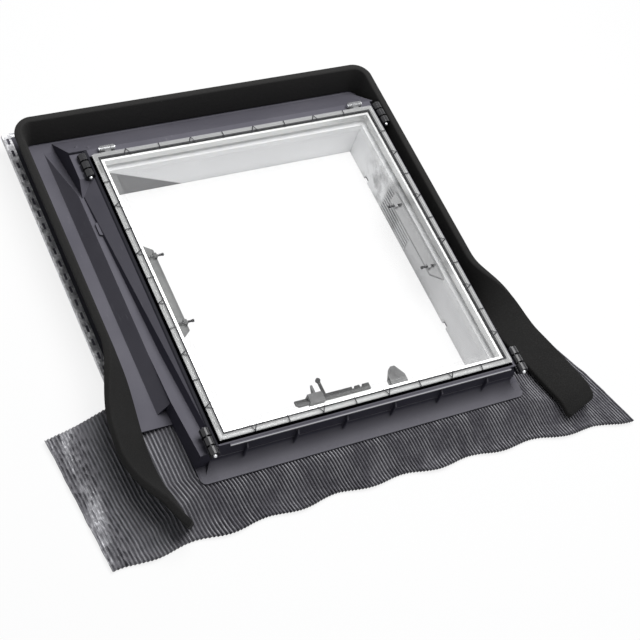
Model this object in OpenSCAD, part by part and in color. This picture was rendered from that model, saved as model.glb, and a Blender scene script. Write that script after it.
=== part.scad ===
// Roof exit window: a moulded frame with a deep left flange, a clear ribbed sash on two rear hinges,
// a sliding latch inside, a pleated apron in front and a loose foam strip round the other three sides.
// X runs across the roof, Y up the slope and Z out of the roof; the collar's foot is at Z = 0.

/* [Opening] */
// Clear width between the side linings
clear_w = 495; // [460:1:540]
// Clear depth between the front and the rear lining
clear_d = 520; // [480:1:580]
// How far the sash reaches past the clear opening on each side
sash_overlap = 22.5; // [21:0.5:26]

/* [Frame] */
// Height of the flange's top face above the collar's foot
foot_h = 36; // [30:1:50]
// Height of the upstand above the flange
upstand_h = 55; // [50:1:70]
// Thickness of the flange
flange_t = 3; // [2.5:0.25:4]
// Wall of the moulded frame
frame_wall = 3.5; // [3:0.25:4]
// Flange width left of the sash
left_flange = 110; // [100:1:130]
// Flange width right of the sash
right_flange = 42; // [40:1:60]
// Flange depth behind the sash
rear_flange = 116; // [112:1:140]
// Flange depth in front of the sash
front_flange = 37.5; // [36:0.5:45]
// Height of the left ledge above the flange
ledge_h = 28; // [24:1:32]
// Outer edge of the left ledge, measured from the sash
ledge_out = 37; // [35:1:42]
// How far the foot of the left step stands out past the ledge
step_batter = 16; // [8:1:20]
// Extra height of the ledge at its front end
ledge_rise = 12; // [8:1:14]
// Radius of the cove at the foot of the front wall
cove_r = 22; // [16:1:24]
// Number of gussets on the front wall
gusset_n = 6; // [4:1:8]
// Distance between two gussets
gusset_pitch = 89; // [50:1:90]

/* [Lining] */
// Thickness of a lining board
lining_t = 4; // [3:0.5:6]
// Number of grip ribs on a side board
grip_n = 8; // [4:1:12]

/* [Sash] */
// Height of the sash from its foot to the top of its pane
sash_h = 22; // [20:0.5:26]
// Width of the ribbed rim
rim_w = 12; // [10:0.5:16]
// Thickness of each pane
pane_t = 3; // [2:0.5:4]
// Gap between the sash and the frame round it
sash_gap = 2.5; // [2:0.25:4]
// Wall of the ribbed rim
rim_wall = 2; // [1.5:0.25:3]
// Number of ribs along the front of the rim, and as many along the rear
front_ribs = 8; // [5:1:9]
// Number of ribs along each side of the rim
side_ribs = 10; // [6:1:12]
// Width of the black spacer between the panes
spacer_w = 4; // [3:0.5:6]
// Height of the seal under the sash
seal_h = 4; // [3:0.25:6]

/* [Hinges] */
// Radius of a hinge pin
pin_r = 2.5; // [2:0.1:3]
// Radius of a hinge knuckle
knuckle_r = 5.5; // [5:0.1:6]
// Distance from the side of the sash to the middle of a rear hinge
hinge_inset = 30; // [26:1:80]
// Length of a corner knuckle stack
stack_l = 46; // [40:1:56]

/* [Latch] */
// Length of the latch bar
bar_l = 136; // [110:1:160]
// Width of the latch bar
bar_w = 11; // [8:0.5:14]
// Thickness of the latch bar
bar_t = 4; // [3:0.5:5]
// Place of the latch guide along the front
guide_x = -79; // [-100:1:-60]
// Place of the keeper along the front
keeper_x = 73; // [60:1:100]

/* [Apron] */
// Reach of the apron in front of the middle of the flange
apron_reach = 66; // [50:1:100]
// How much further the apron reaches at its two front corners
apron_bow = 18; // [0:1:40]
// Reach of the left flap past the flange's front half
left_flap = 172; // [120:1:200]
// Reach of the right flap past the flange's front half
right_flap = 195; // [120:1:200]
// Depth of the flaps from their rear edge to the flange's front edge
flap_d = 155; // [130:1:170]
// Distance between two pleats
pleat_pitch = 5.75; // [5.5:0.25:12]
// Height of a pleat
pleat_h = 4.4; // [3:0.2:6]
// Thickness of the apron sheet
sheet_t = 1; // [0.6:0.1:1.5]

/* [Foam] */
// Width of the foam strip
foam_w = 58; // [45:1:70]
// Thickness of the foam strip
foam_t = 13; // [10:0.5:16]

/* [Hidden] */
$fn = 48;

eps = 1;
seat_fit = 0.1;
run_fit = 0.05;
soft_fit = 0.3;

// Half sizes of the sash, the recess that takes it and the throat that takes the lining
sash_x = clear_w / 2 + sash_overlap;
sash_y = clear_d / 2 + sash_overlap;
recess_x = sash_x + sash_gap;
recess_y = sash_y + sash_gap;
throat_x = clear_w / 2 + lining_t + seat_fit;
throat_y = clear_d / 2 + lining_t + seat_fit;

// Levels above the collar's foot
flange_z = foot_h;
ledge_z = flange_z + ledge_h;
top_z = flange_z + upstand_h;
seat_z = top_z - 17;
sash_z = seat_z + seal_h;
sash_top = sash_z + sash_h;
pane_z = sash_top - pane_t;

// Edges of the flange
flange_left = -(sash_x + left_flange);
flange_right = sash_x + right_flange;
flange_rear = sash_y + rear_flange;
flange_front = -(sash_y + front_flange);

// Plan of the upstand, as distances out from the sash
ledge_x = sash_x + ledge_out;
step_foot = ledge_x + step_batter;
post_x = sash_x + 33;
nose_x = sash_x + 31;
wall_x = sash_x + 14;
wind_x = sash_x + 12;
crest_x = sash_x + 7;
front_y = -(sash_y + 7.5);
crest_front = -(sash_y + 5.5);
crest_y = sash_y + 16.5;
foam_rear = flange_rear - 21.5;
rear_lean = 7;
toe_y = foam_rear - foam_w / 2 * sin(rear_lean) - foam_t / 2 - 2;
ramp_slope = (top_z - flange_z) / (toe_y - crest_y);
skin_drop = frame_wall * sqrt(1 + ramp_slope * ramp_slope);

// Stations of the left step up the slope, set back from the sash's front and rear edges
plate_setback = 76;
step_setback = 98;
rise_setback = 190;
bend_setback = 52;
tail_run = 65;
plate_front = plate_setback - sash_y;
step_front = step_setback - sash_y;
rise_start = rise_setback - sash_y;
step_bend = sash_y - bend_setback;
step_tail = sash_y + tail_run;
tail_slope = ledge_h / (step_tail - step_bend);

colour_frame = [0.25, 0.245, 0.275];
colour_lining = [0.86, 0.87, 0.88];
colour_black = [0.06, 0.06, 0.065];
colour_clear = [0.85, 0.9, 0.9, 0.45];
colour_steel = [0.72, 0.73, 0.75];
colour_apron = [0.36, 0.36, 0.39];

function mix(a, b, t) = a + (b - a) * t;
function clamp01(t) = min(1, max(0, t));
function ease(t) = let (c = clamp01(t)) c * c * (3 - 2 * c);

module box(low, high) {
    translate(low)
        cube(high - low);
}

// A flat rectangular plate centred on the part, from half sizes
module plate(half_x, half_y, low_z, high_z) {
    box([-half_x, -half_y, low_z], [half_x, half_y, high_z]);
}

module ring(out_x, out_y, in_x, in_y, low_z, high_z) {
    difference() {
        plate(out_x, out_y, low_z, high_z);
        plate(in_x, in_y, low_z - eps, high_z + eps);
    }
}

// A profile drawn in X and Z and run along Y
module along_y(low_y, high_y) {
    translate([0, high_y, 0])
        rotate([90, 0, 0])
            linear_extrude(high_y - low_y)
                children();
}

// A profile drawn in Y and Z and run along X
module along_x(low_x, high_x) {
    translate([low_x, 0, 0])
        rotate([90, 0, 90])
            linear_extrude(high_x - low_x)
                children();
}

module rounded_rect(half_x, half_y, r) {
    union() {
        square([2 * half_x - 2 * r, 2 * half_y], center = true);
        square([2 * half_x, 2 * half_y - 2 * r], center = true);
        for (sx = [-1, 1])
            for (sy = [-1, 1])
                translate([sx * (half_x - r), sy * (half_y - r)])
                    circle(r);
    }
}

// A drafted block between two plans, each of four points counted against the clock
module drafted(low, low_z, high, high_z) {
    n = len(low);
    points = concat(
        [for (at = low) [at[0], at[1], low_z]],
        [for (at = high) [at[0], at[1], high_z]]
    );
    sides = [
        for (i = [0 : n - 1])
            for (half = [0, 1])
                let (j = (i + 1) % n)
                half == 0 ? [i, n + i, n + j] : [i, n + j, j]
    ];
    polyhedron(points, concat([[for (i = [0 : n - 1]) i]], [[for (i = [n - 1 : -1 : 0]) n + i]], sides));
}

// The drafted upper tier: its left wall winds in from rear to front
module upper_tier() {
    drafted(
        [[-post_x, crest_y], [-wind_x, front_y], [wall_x, front_y], [wall_x, crest_y]],
        ledge_z - eps,
        [[-crest_x, crest_y], [-crest_x, crest_front], [crest_x, crest_front], [crest_x, crest_y]],
        top_z
    );
}

// Lower tier under the right, front and rear walls, drawn in by the skin of its hollow
module lower_tier(skin, low_z) {
    translate([0, 0, low_z])
        linear_extrude(ledge_z - skin - low_z)
            polygon([
                [-sash_x - eps, crest_y],
                [-sash_x - eps, front_y + skin],
                [wall_x - skin, front_y + skin],
                [wall_x - skin, crest_y]
            ]);
}

// Left step: a leaning wall with a ledge on it that falls to the flange at the rear and rises to the front
module left_step(skin, low_z) {
    side_skin = skin * sqrt(1 + pow(step_batter / ledge_h, 2));
    tail_y = step_tail - 4 * skin;
    intersection() {
        union() {
            along_y(step_front + skin, step_tail)
                polygon([
                    [-step_foot + side_skin, low_z],
                    [-step_foot + side_skin, flange_z],
                    [-ledge_x + side_skin, ledge_z],
                    [-ledge_x + side_skin, top_z],
                    [-sash_x, top_z],
                    [-sash_x, low_z]
                ]);
            translate([0, 0, low_z])
                linear_extrude(top_z - low_z)
                    polygon([
                        [-ledge_x + side_skin, step_front + 4 * skin + eps],
                        [-ledge_x + side_skin, step_front],
                        [-nose_x + side_skin, front_y + skin],
                        [-sash_x, front_y + skin],
                        [-sash_x, step_front + 4 * skin + eps]
                    ]);
        }
        along_x(-step_foot, -sash_x)
            polygon([
                [front_y + skin, low_z],
                [tail_y, low_z],
                [tail_y, flange_z + (step_tail - tail_y) * tail_slope - skin],
                [step_bend, ledge_z - skin],
                [rise_start, ledge_z - skin],
                [front_y + skin, ledge_z + ledge_rise - skin]
            ]);
    }
}

// Post beside the rear left corner, with a slanted front
module rear_post() {
    along_x(-post_x, -sash_x)
        polygon([
            [step_bend - 8, flange_z],
            [step_bend - 8, ledge_z],
            [step_bend + 16, top_z - 4],
            [crest_y, top_z - 4],
            [crest_y, flange_z]
        ]);
}

module rear_ramp() {
    along_x(-post_x, wall_x)
        polygon([
            [crest_y - eps, flange_z - flange_t],
            [crest_y - eps, top_z],
            [crest_y, top_z],
            [toe_y, flange_z],
            [toe_y, flange_z - flange_t]
        ]);
}

// Two raised beads run diagonally down the ramp at each rear corner
module ramp_beads() {
    bead_r = 2.2;
    bead_l = 30;
    bead_turn = 38;
    bead_step = 14;
    for (side = [-1, 1])
        for (row = [0, 1])
            translate([
                side * (sash_x - 4 + bead_step * row),
                crest_y + 10 + bead_step * row,
                top_z - (10 + bead_step * row) * ramp_slope
            ])
                rotate([-atan(ramp_slope), 0, side * bead_turn])
                    rotate([-90, 0, 0])
                        cylinder(r = bead_r, h = bead_l);
}

// The wide left flange and the narrow right one stop short of the front
flange_corner = 10;
module flange_plan() {
    tongue_x = nose_x - flange_corner;
    tongue_y = flange_front + flange_corner;
    translate([flange_left, plate_front])
        square([flange_right - flange_left, flange_rear - plate_front]);
    translate([-nose_x, tongue_y])
        square([2 * nose_x, plate_front + eps - tongue_y]);
    translate([-tongue_x, flange_front])
        square([2 * tongue_x, flange_corner + eps]);
    for (side = [-1, 1])
        translate([side * tongue_x, tongue_y])
            circle(flange_corner);
}

module front_cove() {
    cove_x = nose_x - 2;
    cove_y = front_y - cove_r;
    end_turn = 30;
    difference() {
        box([-cove_x, cove_y, flange_z - eps], [cove_x, front_y + eps, flange_z + cove_r]);
        translate([0, cove_y, flange_z + cove_r])
            rotate([0, 90, 0])
                cylinder(r = cove_r, h = 2 * nose_x, center = true);
        for (side = [-1, 1])
            translate([side * (nose_x + wall_x) / 2, cove_y, flange_z])
                rotate([0, 0, side * end_turn])
                    translate([side * cove_r, 0, cove_r / 2 + eps])
                        cube([2 * cove_r, 4 * cove_r, cove_r + eps], center = true);
    }
}

gusset_t = 2.6;
gusset_out = 6;
module gussets() {
    for (i = [0 : gusset_n - 1])
        translate([(i - (gusset_n - 1) / 2) * gusset_pitch, 0, 0])
            along_x(-gusset_t / 2, gusset_t / 2)
                polygon([
                    [front_y + eps, flange_z + cove_r / 2],
                    [front_y - gusset_out, flange_z + cove_r / 2],
                    [front_y - gusset_out, top_z - 16],
                    [front_y + eps, top_z - 9]
                ]);
}

// Bead along the top of the front wall, and a waist line below it
module front_bead() {
    bead = 2.4;
    waist_z = top_z - 33;
    box([-sash_x + 16, front_y - bead, top_z - bead - 1], [sash_x - 4, front_y + eps + bead, top_z - 1]);
    box([-wall_x + 6, front_y - 1, waist_z - 1], [wall_x, front_y + eps, waist_z + 1]);
}

// Small raised tab on the ledge, against the winding wall
module ledge_tab() {
    tab_l = 26;
    tab_r = 4;
    translate([-(sash_x + 28), sash_y * 0.55, ledge_z - eps])
        linear_extrude(4 + eps)
            union() {
                square([2 * tab_r, tab_l - 2 * tab_r], center = true);
                for (end = [-1, 1])
                    translate([0, end * (tab_l / 2 - tab_r)])
                        circle(tab_r);
            }
}

// Hollow behind the winding wall
module left_core() {
    core_x = recess_x + frame_wall;
    core_rear = crest_y - 2 * frame_wall;
    core_front = front_y + 60;
    drafted(
        [
            [-post_x + 2 * frame_wall, core_rear],
            [-wind_x + frame_wall / 2, core_front],
            [-core_x, core_front],
            [-core_x, core_rear]
        ],
        ledge_z - frame_wall - eps,
        [
            [-core_x - 2, core_rear],
            [-core_x - 1, core_front],
            [-core_x, core_front],
            [-core_x, core_rear]
        ],
        top_z - 4 * frame_wall
    );
}

// The moulding is open underneath: hollows under both tiers, the step and the ramp
module frame_hollows() {
    under = -eps;
    ramp_end = toe_y - 12;
    difference() {
        union() {
            lower_tier(frame_wall, under);
            left_step(frame_wall, under);
            plate(recess_x, recess_y, under, seat_z - frame_wall);
            left_core();
            along_x(-post_x + frame_wall, wall_x - frame_wall)
                polygon([
                    [recess_y + frame_wall, under],
                    [recess_y + frame_wall, top_z - skin_drop],
                    [crest_y, top_z - skin_drop],
                    [ramp_end, top_z - skin_drop - ramp_slope * (ramp_end - crest_y)],
                    [ramp_end, under]
                ]);
        }
        plate(throat_x + frame_wall, throat_y + frame_wall, under - eps, top_z);
    }
}

// Three-cornered weep hole in the front end of the left step
module weep_hole() {
    along_y(step_front - eps, step_front + frame_wall + eps)
        polygon([
            [-step_foot + 6, flange_z + 1.5],
            [-ledge_x - 1, flange_z + 1.5],
            [-ledge_x - 1, ledge_z - 8]
        ]);
}

screw_r = 2.5;
screw_inset = 20;
screw_y = flange_rear - 12.5;
module screw_holes() {
    for (side = [-1, 1])
        translate([side * (sash_x - screw_inset), screw_y, flange_z - flange_t - eps])
            cylinder(r = screw_r, h = flange_t + 2 * eps);
}

module flashing_frame() {
    color(colour_frame)
        difference() {
            union() {
                translate([0, 0, flange_z - flange_t])
                    linear_extrude(flange_t)
                        flange_plan();
                lower_tier(0, flange_z - flange_t);
                left_step(0, flange_z - flange_t);
                rear_post();
                upper_tier();
                rear_ramp();
                ramp_beads();
                front_cove();
                gussets();
                front_bead();
                ledge_tab();
                ring(throat_x + frame_wall, throat_y + frame_wall, throat_x, throat_y, 0, seat_z);
            }
            frame_hollows();
            plate(throat_x, throat_y, -eps, top_z + eps);
            plate(recess_x, recess_y, seat_z, sash_top + eps);
            weep_hole();
            screw_holes();
        }
}

// Lining boards: each stands in the throat and laps the frame's seat with a thin lip
seal_in = 11;
seal_out = 3;
lip_x = recess_x - seal_in - soft_fit;
lip_y = recess_y - seal_in - soft_fit;
lip_z = seat_z + 1.5;
grip_l = 100;
grip_h = 1.2;
notch_w = 12;
notch_h = 9;
module side_board(side) {
    inner = clear_w / 2;
    color(colour_lining)
        difference() {
            union() {
                box([min(side * inner, side * (inner + lining_t)), -throat_y + seat_fit, 0],
                    [max(side * inner, side * (inner + lining_t)), throat_y - seat_fit, lip_z]);
                box([min(side * inner, side * lip_x), -lip_y, seat_z],
                    [max(side * inner, side * lip_x), lip_y, lip_z]);
                for (i = [0 : grip_n - 1])
                    translate([side * (inner - grip_h / 2), clear_d * 0.15, seat_z * (i + 1) / (grip_n + 2)])
                        cube([grip_h + 0.2, grip_l, 2.4], center = true);
            }
            for (place = [clear_d * 0.365, -clear_d * 0.265])
                translate([side * inner, place, 0])
                    cube([4 * lining_t, notch_w, 2 * notch_h], center = true);
        }
}

module lining_left() {
    side_board(-1);
}

module lining_right() {
    side_board(1);
}

module end_board(side) {
    inner = clear_d / 2;
    half = clear_w / 2 - seat_fit;
    color(colour_lining)
        union() {
            box([-half, min(side * inner, side * (inner + lining_t)), 0],
                [half, max(side * inner, side * (inner + lining_t)), lip_z]);
            box([-half, min(side * inner, side * lip_y), seat_z],
                [half, max(side * inner, side * lip_y), lip_z]);
        }
}

module lining_front() {
    end_board(-1);
}

module lining_rear() {
    end_board(1);
}

// Hollow bulb seal on the frame's seat
module frame_seal() {
    bulb = seal_h - soft_fit;
    lip_t = 2.5;
    color(colour_black)
        difference() {
            ring(
                recess_x - seal_out, recess_y - seal_out,
                recess_x - seal_in, recess_y - seal_in,
                seat_z, seat_z + bulb
            );
            ring(
                recess_x - seal_out - lip_t, recess_y - seal_out - lip_t,
                recess_x - seal_in + lip_t, recess_y - seal_in + lip_t,
                seat_z + bulb / 2, seat_z + bulb + eps
            );
        }
}

// Side catches: a tapered plate on the lining with two ears that carry a peg each
catch_l = 194;
catch_out = 20;
catch_y = 12;
peg_pitch = 134;
peg_r = 2;
peg_z = seat_z - 0.6;
catch_z = seat_z - 8;
ear_w = 9;
ear_t = 6;
ear_in = catch_out - ear_t / 2;
module catch_plate(side) {
    face = clear_w / 2;
    color(colour_lining)
        difference() {
            union() {
                translate([0, catch_y, catch_z])
                    linear_extrude(4)
                        polygon([
                            [side * face, -catch_l / 2],
                            [side * (face - catch_out), 16 - catch_l / 2],
                            [side * (face - catch_out), catch_l / 2 - 16],
                            [side * face, catch_l / 2]
                        ]);
                for (end = [-1, 1])
                    translate([side * (face - ear_in), catch_y + end * peg_pitch / 2, catch_z + 5])
                        cube([ear_t, ear_w, 10], center = true);
            }
            for (end = [-1, 1])
                translate([side * (face - ear_in), catch_y + end * peg_pitch / 2, peg_z])
                    rotate([0, 90, 0])
                        cylinder(r = peg_r + seat_fit, h = 2 * ear_w, center = true);
        }
}

module catch_left() {
    catch_plate(-1);
}

module catch_right() {
    catch_plate(1);
}

peg_l = 28;
module catch_pegs(side) {
    face = clear_w / 2;
    color(colour_black)
        for (end = [-1, 1])
            translate([side * (face - 4), catch_y + end * peg_pitch / 2, peg_z])
                rotate([0, -side * 90, 0]) {
                    cylinder(r = peg_r, h = peg_l);
                    translate([0, 0, peg_l - 3])
                        cylinder(r = peg_r + 0.6, h = 3);
                }
}

module catch_pins_left() {
    catch_pegs(-1);
}

module catch_pins_right() {
    catch_pegs(1);
}

// Latch parts share the bar's middle line
bar_setback = 15.5;
bar_drop = 8;
bar_tail = 36;
bar_y = bar_setback - clear_d / 2;
bar_z = sash_z - bar_drop;
bar_x0 = guide_x - bar_tail;
latch_fit = 0.35;
keeper_w = 30;
keeper_reach = 16;
keeper_low = bar_z - 7;
keeper_high = sash_z - 3;

module bar_tunnel(low_x, high_x) {
    box([low_x, bar_y - bar_w / 2 - latch_fit, bar_z - bar_t / 2 - latch_fit],
        [high_x, bar_y + bar_w / 2 + latch_fit, bar_z + bar_t / 2 + latch_fit]);
}

// Keeper: a three-cornered block on the front lining that takes the end of the bar
module keeper() {
    tip_w = 8;
    color(colour_frame)
        difference() {
            translate([keeper_x, 0, keeper_low])
                linear_extrude(keeper_high - keeper_low)
                    polygon([
                        [-keeper_w / 2, -clear_d / 2],
                        [-keeper_w / 2, bar_y + bar_w / 4],
                        [-tip_w / 2, bar_y + bar_w / 2 + keeper_reach],
                        [tip_w / 2, bar_y + bar_w / 2 + keeper_reach],
                        [keeper_w / 2, bar_y + bar_w / 4],
                        [keeper_w / 2, -clear_d / 2]
                    ]);
            bar_tunnel(keeper_x - keeper_w, keeper_x + keeper_w);
        }
}

module latch_guide() {
    guide_w = 26;
    guide_half = bar_w / 2 + 3.5;
    ear_reach = 14;
    color(colour_frame)
        difference() {
            union() {
                box([guide_x - guide_w / 2, bar_y - guide_half, bar_z - bar_t / 2 - 3],
                    [guide_x + guide_w / 2, bar_y + guide_half, sash_z]);
                translate([guide_x, 0, 0])
                    along_x(-2, 2)
                        polygon([
                            [bar_y + guide_half - eps, sash_z],
                            [bar_y + guide_half + ear_reach, sash_z],
                            [bar_y + guide_half - eps, bar_z - bar_t / 2 - 3]
                        ]);
            }
            bar_tunnel(guide_x - guide_w, guide_x + guide_w);
        }
}

module latch_bar() {
    lever_gap = 19;
    lever_x = guide_x + lever_gap;
    lever_l = 32;
    lever_r = 4;
    hook = 9;
    color(colour_black)
        difference() {
            union() {
                box(
                    [bar_x0, bar_y - bar_w / 2, bar_z - bar_t / 2],
                    [bar_x0 + bar_l, bar_y + bar_w / 2, bar_z + bar_t / 2]
                );
                box(
                    [lever_x - lever_r / 2, bar_y, bar_z - bar_t / 2],
                    [lever_x + lever_r / 2, bar_y + lever_l, bar_z + bar_t / 2]
                );
                translate([lever_x, bar_y + lever_l, bar_z - bar_t / 2])
                    cylinder(r = lever_r, h = bar_t);
            }
            for (i = [1 : 2])
                translate([bar_x0 + bar_l - hook * 1.6 * i, bar_y + bar_w / 2, bar_z])
                    cube([hook * 0.6, bar_w * 0.7, 2 * bar_t], center = true);
            translate([bar_x0, bar_y - bar_w / 2, bar_z])
                rotate([0, 0, 45])
                    cube([6, 6, 2 * bar_t], center = true);
        }
}

// Rear hinges: the axis lies just behind and above the recess
axis_y = sash_y + 9.5;
axis_z = top_z + knuckle_r + 0.5;
leaf_w = 11;
lug_w = 7;
lug_gap = 0.4;

module hinge_barrel(low_x, high_x, bore_r) {
    translate([low_x, axis_y, axis_z])
        rotate([0, 90, 0])
            difference() {
                cylinder(r = knuckle_r, h = high_x - low_x);
                translate([0, 0, -eps])
                    cylinder(r = bore_r, h = high_x - low_x + 2 * eps);
            }
}

module frame_hinge(side) {
    color(colour_black)
        translate([side * (sash_x - hinge_inset), 0, 0])
            for (lug = [-1, 1])
                translate([lug * (leaf_w / 2 + lug_gap + lug_w / 2), 0, 0]) {
                    hinge_barrel(-lug_w / 2, lug_w / 2, pin_r + 0.02);
                    difference() {
                        box([-lug_w / 2, axis_y - knuckle_r, top_z], [lug_w / 2, axis_y + knuckle_r, axis_z]);
                        translate([0, axis_y, axis_z])
                            rotate([0, 90, 0])
                                cylinder(r = knuckle_r - 0.5, h = 2 * lug_w, center = true);
                    }
                }
}

module frame_hinge_left() {
    frame_hinge(-1);
}

module frame_hinge_right() {
    frame_hinge(1);
}

module hinge_pin(side) {
    half = leaf_w / 2 + lug_gap + lug_w;
    color(colour_steel)
        translate([side * (sash_x - hinge_inset), axis_y, axis_z])
            rotate([0, 90, 0]) {
                cylinder(r = pin_r, h = 2 * half, center = true);
                for (end = [-1, 1])
                    translate([0, 0, end * (half + 0.8)])
                        cylinder(r = pin_r + 1.2, h = 1.6, center = true);
            }
}

module hinge_pin_left() {
    hinge_pin(-1);
}

module hinge_pin_right() {
    hinge_pin(1);
}

// The leaf lies in the gap behind the sash, with an arm over the frame's edge to the knuckle
module sash_hinge(side) {
    leaf_t = sash_gap - 0.5;
    color(colour_black)
        translate([side * (sash_x - hinge_inset), 0, 0]) {
            hinge_barrel(-leaf_w / 2, leaf_w / 2, pin_r + run_fit);
            box([-leaf_w / 2 - 6, sash_y, sash_z + 4], [leaf_w / 2 + 6, sash_y + leaf_t, pane_z]);
            difference() {
                box([-leaf_w / 2, sash_y, top_z + 1], [leaf_w / 2, axis_y, axis_z + 2]);
                translate([0, axis_y, axis_z])
                    rotate([0, 90, 0])
                        cylinder(r = knuckle_r - 0.5, h = 2 * leaf_w, center = true);
            }
        }
}

module sash_hinge_left() {
    sash_hinge(-1);
}

module sash_hinge_right() {
    sash_hinge(1);
}

// Spare hinge stations for a side-hung sash: a stack of knuckles beside each corner
stack_x = sash_x + 15;
stack_z = top_z + 0.4;
stack_r = 8.5;
stack_pin_r = 2;
stack_gap = 3;
stack_rear = sash_y - 17;
stack_front = -(sash_y - 4);

module knuckles(side, mid_y) {
    barrel_l = (stack_l - 2 * stack_gap) / 3;
    base_w = 10;
    base_h = 8;
    base_l = stack_l - 3;
    color(colour_black)
        difference() {
            translate([side * stack_x, mid_y, 0]) {
                for (i = [-1 : 1])
                    translate([0, i * (barrel_l + stack_gap), stack_z])
                        rotate([90, 0, 0])
                            cylinder(r = stack_r, h = barrel_l, center = true);
                translate([-side * base_w / 2, 0, stack_z - 1 - base_h / 2])
                    cube([base_w, base_l, base_h], center = true);
            }
            upper_tier();
            rear_post();
            translate([side * stack_x, mid_y, stack_z])
                rotate([90, 0, 0])
                    cylinder(r = stack_pin_r + run_fit, h = 2 * stack_l, center = true);
        }
}

module knuckles_rear_left() {
    knuckles(-1, stack_rear);
}

module knuckles_rear_right() {
    knuckles(1, stack_rear);
}

module knuckles_front_left() {
    knuckles(-1, stack_front);
}

module knuckles_front_right() {
    knuckles(1, stack_front);
}

// A pin with a domed head at each end through every stack
module knuckle_pins() {
    head_r = stack_pin_r + 1.6;
    color(colour_steel)
        for (side = [-1, 1])
            for (mid_y = [stack_front, stack_rear])
                translate([side * stack_x, mid_y, stack_z])
                    rotate([90, 0, 0]) {
                        cylinder(r = stack_pin_r, h = stack_l + 2, center = true);
                        for (tip = [-1, 1])
                            translate([0, 0, tip * (stack_l / 2 + 0.4)])
                                difference() {
                                    sphere(r = head_r);
                                    translate([0, 0, -tip * head_r])
                                        cube(2 * head_r, center = true);
                                }
                    }
}

// Folded metal edging clipped round the flange, with a return that lies on it, slotted on the left
edge_t = 1.5;
edge_up = 3.4;
edge_in = 8;
edge_slot = 13;
edge_slot_w = 4.5;
edge_slot_pitch = 26;
over_left = 13;
over_rear = 7;
over_right = 2.5;

module edging_profile(edge, inward, over) {
    polygon([
        [edge - inward * edge_t, flange_z - flange_t - edge_t],
        [edge + inward * edge_in, flange_z - flange_t - edge_t],
        [edge + inward * edge_in, flange_z - flange_t],
        [edge, flange_z - flange_t],
        [edge, flange_z],
        [edge + inward * over, flange_z],
        [edge + inward * over, flange_z + edge_t],
        [edge, flange_z + edge_t],
        [edge, flange_z + edge_up],
        [edge - inward * edge_t, flange_z + edge_up]
    ]);
}

module edging_left() {
    low = flap_edge(flange_left) + flap_clear;
    slots = floor((flange_rear - low - edge_slot) / edge_slot_pitch);
    color(colour_steel)
        difference() {
            along_y(low, flange_rear)
                edging_profile(flange_left, 1, over_left);
            for (i = [1 : slots])
                translate([flange_left + over_left / 2, low + i * edge_slot_pitch, flange_z + edge_t])
                    cube([edge_slot_w, edge_slot, 4 * edge_t], center = true);
        }
}

module edging_right() {
    color(colour_steel)
        along_y(flap_rear + flap_clear, flange_rear)
            edging_profile(flange_right, -1, over_right);
}

module edging_rear() {
    left_lap = max(edge_in, over_left);
    right_lap = max(edge_in, over_right);
    color(colour_steel)
        along_x(flange_left + left_lap + seat_fit, flange_right - right_lap - seat_fit)
            edging_profile(flange_rear, -1, over_rear);
}

// Sash: a hollow clear rim with cross ribs and V clips, two panes and a black spacer
ledge_reach = 34;
ledge_t = 2.5;
rim_x = sash_x - rim_w;
rim_y = sash_y - rim_w;
rib_margin = 60;
clip_turn = 28;

// Cross ribs and V clips by turns along one side of the rim
module rim_row(half_along, half_across, count) {
    pitch = 2 * (half_along - rib_margin) / (count - 1);
    rib_h = pane_z - sash_z - ledge_t;
    for (i = [0 : count - 1])
        translate([(i - (count - 1) / 2) * pitch, half_across, sash_z + ledge_t - 0.2])
            if (i % 2 == 1)
                translate([-rim_wall / 2, -rim_w + 0.5, 0])
                    cube([rim_wall, rim_w - 1, rib_h]);
            else
                for (lean = [-1, 1])
                    translate([0, -rim_wall, 0])
                        rotate([0, 0, lean * clip_turn])
                            translate([-rim_wall / 2, 3 - rim_w, 0])
                                cube([rim_wall, rim_w - 3, rib_h]);
}

module sash_frame() {
    color(colour_clear)
        union() {
            ring(sash_x, sash_y, sash_x - ledge_reach, sash_y - ledge_reach, sash_z, sash_z + ledge_t);
            ring(sash_x, sash_y, sash_x - rim_wall, sash_y - rim_wall, sash_z, pane_z);
            ring(rim_x + rim_wall, rim_y + rim_wall, rim_x, rim_y, sash_z, pane_z);
            for (turn = [0, 180])
                rotate([0, 0, turn])
                    rim_row(sash_x, sash_y, front_ribs);
            for (turn = [90, 270])
                rotate([0, 0, turn])
                    rim_row(sash_y, sash_x, side_ribs);
        }
}

module outer_pane() {
    color(colour_clear)
        translate([0, 0, pane_z])
            linear_extrude(pane_t)
                rounded_rect(sash_x, sash_y, 4);
}

module inner_pane() {
    color(colour_clear)
        plate(rim_x - seat_fit, rim_y - seat_fit, sash_z + ledge_t, sash_z + ledge_t + pane_t);
}

module spacer_gasket() {
    color(colour_black)
        ring(rim_x - seat_fit, rim_y - seat_fit, rim_x - seat_fit - spacer_w, rim_y - seat_fit - spacer_w,
             sash_z + ledge_t + pane_t, pane_z);
}

// Apron: one pleated sheet under the flange's front, with a flap at each side, draped to the ground
lap = 22;
lap_x = nose_x - lap;
lap_y = flange_front + 20;
flap_rear = flange_front + flap_d;
flap_skew = 0.22;
flap_clear = 3;
apron_front = flange_front - apron_reach;
pleat_top = flange_z - flange_t - soft_fit;
sheet_mid = pleat_top - pleat_h / 2 - sheet_t / 2;
ground_mid = pleat_h / 2 + sheet_t / 2 + 2.2;
left_cols = 2 * round((nose_x + left_flap - lap_x) / pleat_pitch);
mid_cols = 2 * round(2 * lap_x / pleat_pitch);
right_cols = 2 * round((nose_x + right_flap - 30 - lap_x) / pleat_pitch);
all_cols = left_cols + mid_cols + right_cols;
strip_rows = 3;
all_rows = 5;

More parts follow.
